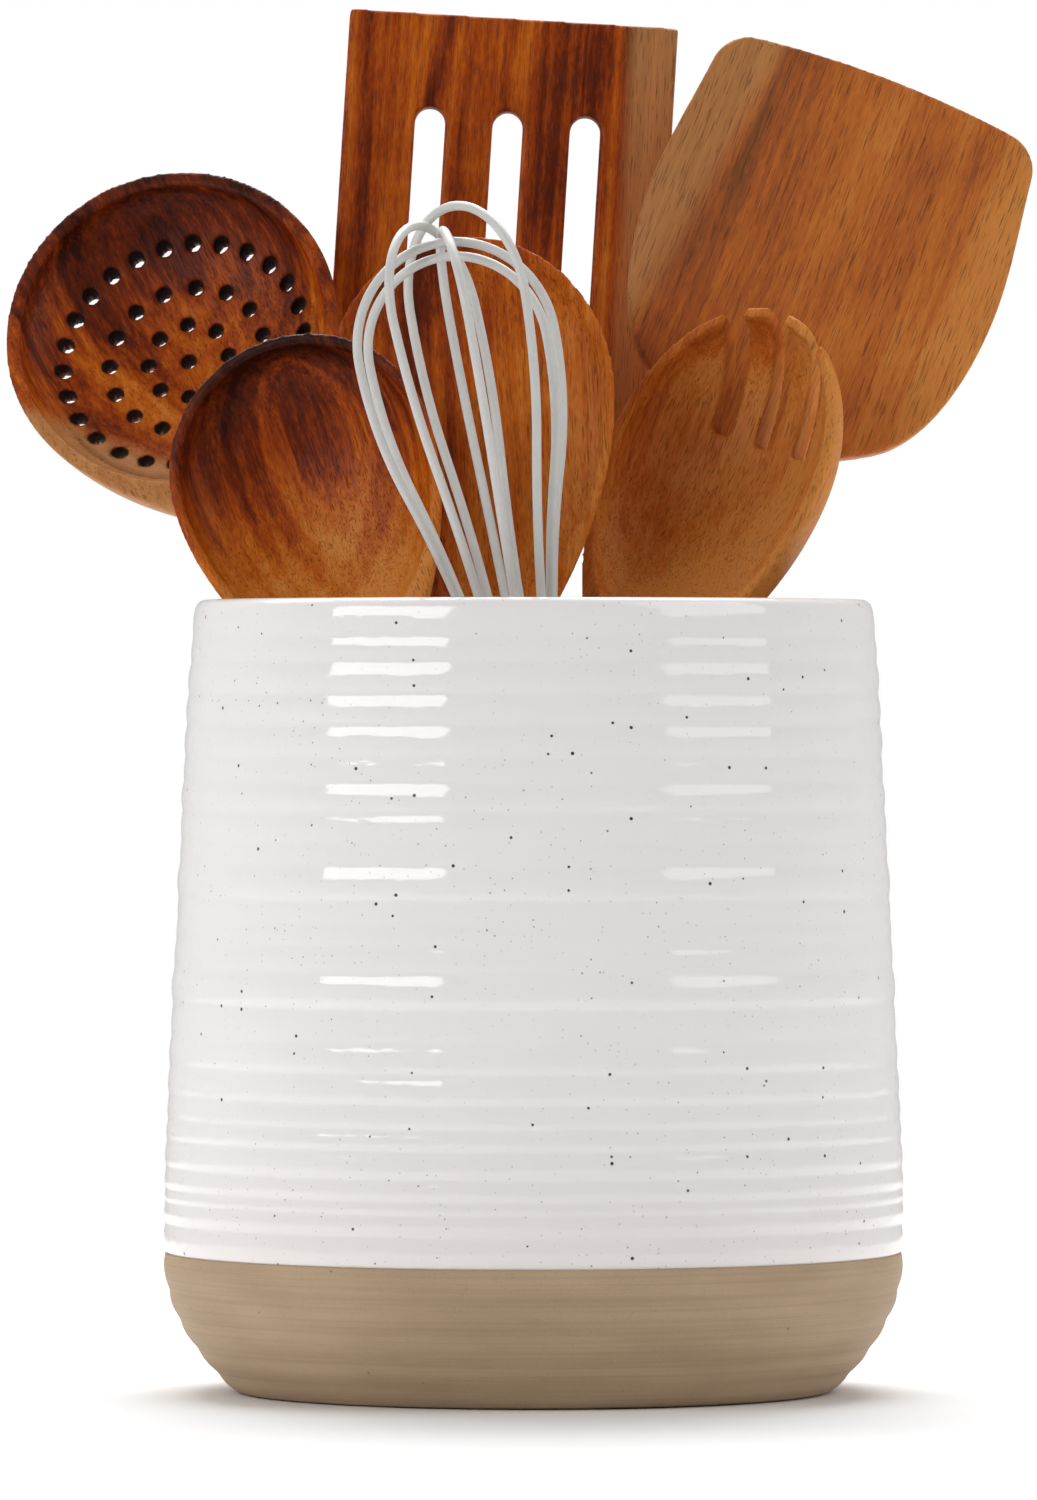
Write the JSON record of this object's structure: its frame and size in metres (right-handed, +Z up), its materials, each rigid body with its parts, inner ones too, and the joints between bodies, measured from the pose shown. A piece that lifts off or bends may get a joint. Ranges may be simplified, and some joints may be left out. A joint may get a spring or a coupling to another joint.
{
  "type": "utensil crock",
  "caption": "Wheel-thrown stoneware crock, glazed over a bare base, holding lift-out wooden spoons, turners, a skimmer, a spork and a wire whisk.",
  "frame": {"origin": "on the ground plane under the centre of the crock's foot ring", "axes": "+Z up along the crock's axis; -Y is the front, which the spoon bowls face; +X is the viewer's right"},
  "size_m": [0.2368, 0.166, 0.316],
  "materials": {
    "glaze": "gloss white glaze with fine dark specks",
    "bare_stoneware": "matte unglazed clay",
    "acacia": "oiled acacia",
    "silicone": "satin light grey silicone",
    "steel": "drawn wire and rolled ring"
  },
  "bodies": {
    "crock": {"crock_body": "bare_stoneware", "crock_glaze": "glaze"},
    "skimmer": {"skimmer": "acacia"},
    "front_spoon": {"front_spoon": "acacia"},
    "slotted_turner": {"slotted_turner": "acacia"},
    "solid_turner": {"solid_turner": "acacia"},
    "round_spoon": {"round_spoon": "acacia"},
    "spork": {"spork": "acacia"},
    "whisk": {"whisk_handle": "acacia", "whisk_collar": "steel", "whisk_loop_1": "silicone", "whisk_loop_2": "silicone", "whisk_loop_3": "silicone", "whisk_loop_4": "silicone", "whisk_loop_5": "silicone", "whisk_core_1": "steel", "whisk_core_2": "steel", "whisk_core_3": "steel", "whisk_core_4": "steel", "whisk_core_5": "steel"}
  },
  "joints": [
    {"name": "slotted_turner_lift", "type": "slide", "parent": "crock", "child": "slotted_turner", "axis": [0.0605, 0.1303, 0.9896], "range_m": [0, 0.1809]},
    {"name": "solid_turner_lift", "type": "slide", "parent": "crock", "child": "solid_turner", "axis": [0.3567, 0.0977, 0.9291], "range_m": [0, 0.1927]},
    {"name": "skimmer_lift", "type": "slide", "parent": "crock", "child": "skimmer", "axis": [-0.448, 0.2284, 0.8644], "range_m": [0, 0.2071]},
    {"name": "spork_lift", "type": "slide", "parent": "crock", "child": "spork", "axis": [0.3256, -0.0099, 0.9455], "range_m": [0, 0.1893]},
    {"name": "round_spoon_lift", "type": "slide", "parent": "crock", "child": "round_spoon", "axis": [-0.0515, 0.1734, 0.9835], "range_m": [0, 0.182]},
    {"name": "front_spoon_lift", "type": "slide", "parent": "crock", "child": "front_spoon", "axis": [-0.321, 0.0891, 0.9429], "range_m": [0, 0.1898]},
    {"name": "whisk_lift", "type": "slide", "parent": "crock", "child": "whisk", "axis": [-0.1941, -0.0428, 0.9801], "range_m": [0, 0.1826]}
  ]
}
